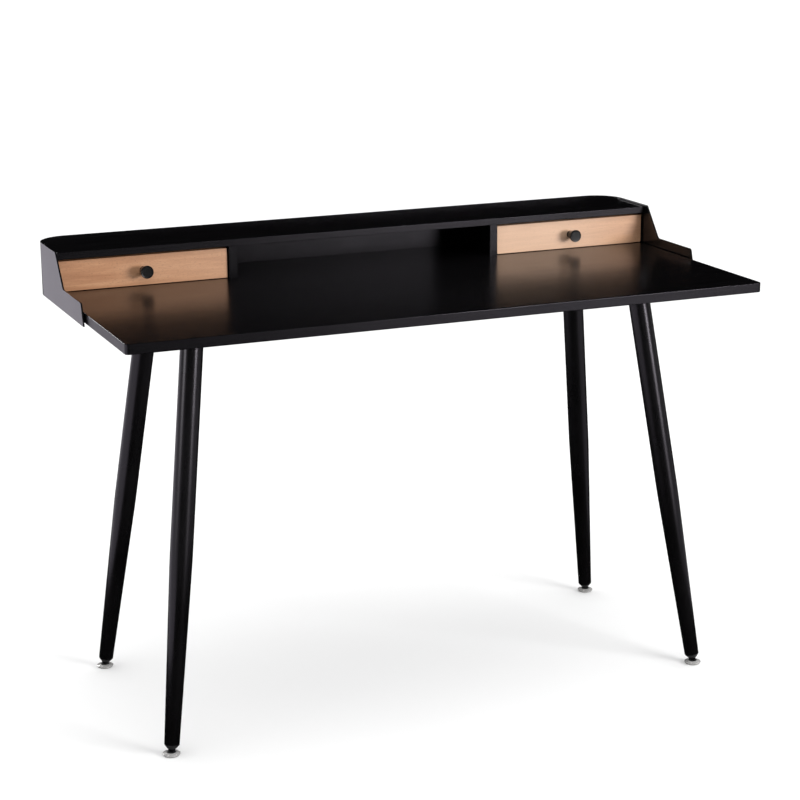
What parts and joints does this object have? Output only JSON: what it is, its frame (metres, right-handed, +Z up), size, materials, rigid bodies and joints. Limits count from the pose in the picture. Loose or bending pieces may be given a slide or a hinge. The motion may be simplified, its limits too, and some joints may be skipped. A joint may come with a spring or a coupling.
{
  "type": "writing desk with drawers",
  "caption": "Rectangular writing desk on splayed tapered legs with a low rear hutch of drawers and an open bay inside a stepped sheet-steel gallery.",
  "frame": {"origin": "on the floor, under the middle of the desk's box", "axes": "+Z up, +X along the desktop's long edge to the sitter's right, +Y from the sitter towards the gallery"},
  "size_m": [1.212, 0.598, 0.839],
  "materials": {
    "black_board": "satin black lacquer on fibreboard",
    "black_sheet_steel": "fine textured satin black powder coat",
    "beech_veneer": "clear satin lacquer over fine-grained beech veneer",
    "drawer_box_wood": "sanded birch plywood",
    "drawer_bottom_board": "smooth hardboard",
    "black_knob": "matt black lacquer",
    "black_tube_steel": "satin black powder coat",
    "black_plastic": "moulded matt plastic",
    "chrome": "bright plated pressed steel",
    "zinc_steel": "bright zinc plate",
    "nylon": "natural moulded nylon",
    "rubber": "matt black rubber",
    "raw_beech": "bare beech"
  },
  "bodies": {
    "desk": {"back_panel": "black_board", "carcass_screws": "zinc_steel", "desktop": "black_board", "divider_left": "black_board", "divider_right": "black_board", "drawer_buffers": "rubber", "drawer_stops": "raw_beech", "gallery_nuts": "zinc_steel", "gallery_pins": "zinc_steel", "gallery_spacers": "rubber", "gallery_surround": "black_sheet_steel", "leg_cap_front_left": "black_plastic", "leg_cap_front_right": "black_plastic", "leg_cap_rear_left": "black_plastic", "leg_cap_rear_right": "black_plastic", "leg_front_left": "black_tube_steel", "leg_front_right": "black_tube_steel", "leg_plate_front_left": "black_tube_steel", "leg_plate_front_right": "black_tube_steel", "leg_plate_rear_left": "black_tube_steel", "leg_plate_rear_right": "black_tube_steel", "leg_plate_screws": "zinc_steel", "leg_rear_left": "black_tube_steel", "leg_rear_right": "black_tube_steel", "runner_left_inner": "nylon", "runner_left_outer": "nylon", "runner_right_inner": "nylon", "runner_right_outer": "nylon", "runner_screws": "zinc_steel", "shelf_dowels": "raw_beech", "shelf_top": "black_board", "side_panel_left": "black_board", "side_panel_right": "black_board"},
    "drawer_left": {"drawer_left_bottom": "drawer_bottom_board", "drawer_left_box_back": "drawer_box_wood", "drawer_left_box_front": "drawer_box_wood", "drawer_left_front": "beech_veneer", "drawer_left_front_screws": "zinc_steel", "drawer_left_knob": "black_knob", "drawer_left_knob_screw": "zinc_steel", "drawer_left_side_inner": "drawer_box_wood", "drawer_left_side_outer": "drawer_box_wood"},
    "drawer_right": {"drawer_right_bottom": "drawer_bottom_board", "drawer_right_box_back": "drawer_box_wood", "drawer_right_box_front": "drawer_box_wood", "drawer_right_front": "beech_veneer", "drawer_right_front_screws": "zinc_steel", "drawer_right_knob": "black_knob", "drawer_right_knob_screw": "zinc_steel", "drawer_right_side_inner": "drawer_box_wood", "drawer_right_side_outer": "drawer_box_wood"},
    "pad_front_left": {"foot_pad_front_left": "chrome"},
    "stud_front_left": {"foot_stud_front_left": "black_tube_steel"},
    "pad_front_right": {"foot_pad_front_right": "chrome"},
    "stud_front_right": {"foot_stud_front_right": "black_tube_steel"},
    "pad_rear_left": {"foot_pad_rear_left": "chrome"},
    "stud_rear_left": {"foot_stud_rear_left": "black_tube_steel"},
    "pad_rear_right": {"foot_pad_rear_right": "chrome"},
    "stud_rear_right": {"foot_stud_rear_right": "black_tube_steel"}
  },
  "joints": [
    {"name": "drawer_left_slide", "type": "slide", "parent": "desk", "child": "drawer_left", "axis": [0, -1, 0], "range_m": [0, 0.0815]},
    {"name": "drawer_right_slide", "type": "slide", "parent": "desk", "child": "drawer_right", "axis": [0, -1, 0], "range_m": [0, 0.0815]},
    {"name": "foot_front_left_height", "type": "slide", "parent": "desk", "child": "pad_front_left", "axis": [-0.1231, -0.1231, -0.9847], "range_m": [0, 0.01]},
    {"name": "foot_front_left_turn", "type": "hinge", "parent": "pad_front_left", "child": "stud_front_left", "pos_m": [-0.52635, -0.22085, 0.0052], "axis": [-0.1231, -0.1231, -0.9847], "range_deg": [0, 2880]},
    {"name": "foot_front_right_height", "type": "slide", "parent": "desk", "child": "pad_front_right", "axis": [0.1231, -0.1231, -0.9847], "range_m": [0, 0.01]},
    {"name": "foot_front_right_turn", "type": "hinge", "parent": "pad_front_right", "child": "stud_front_right", "pos_m": [0.52635, -0.22085, 0.0052], "axis": [0.1231, -0.1231, -0.9847], "range_deg": [0, 2880]},
    {"name": "foot_rear_left_height", "type": "slide", "parent": "desk", "child": "pad_rear_left", "axis": [-0.1232, 0.1179, -0.9854], "range_m": [0, 0.01]},
    {"name": "foot_rear_left_turn", "type": "hinge", "parent": "pad_rear_left", "child": "stud_rear_left", "pos_m": [-0.52635, 0.22388, 0.0052], "axis": [-0.1232, 0.1179, -0.9854], "range_deg": [0, 2880]},
    {"name": "foot_rear_right_height", "type": "slide", "parent": "desk", "child": "pad_rear_right", "axis": [0.1232, 0.1179, -0.9854], "range_m": [0, 0.01]},
    {"name": "foot_rear_right_turn", "type": "hinge", "parent": "pad_rear_right", "child": "stud_rear_right", "pos_m": [0.52635, 0.22388, 0.0052], "axis": [0.1232, 0.1179, -0.9854], "range_deg": [0, 2880]}
  ],
  "couplings": [
    {"joint": "foot_front_left_turn", "follows": "foot_front_left_height", "rad_per_m": 5026.5},
    {"joint": "foot_front_right_turn", "follows": "foot_front_right_height", "rad_per_m": 5026.5},
    {"joint": "foot_rear_left_turn", "follows": "foot_rear_left_height", "rad_per_m": 5026.5},
    {"joint": "foot_rear_right_turn", "follows": "foot_rear_right_height", "rad_per_m": 5026.5}
  ]
}
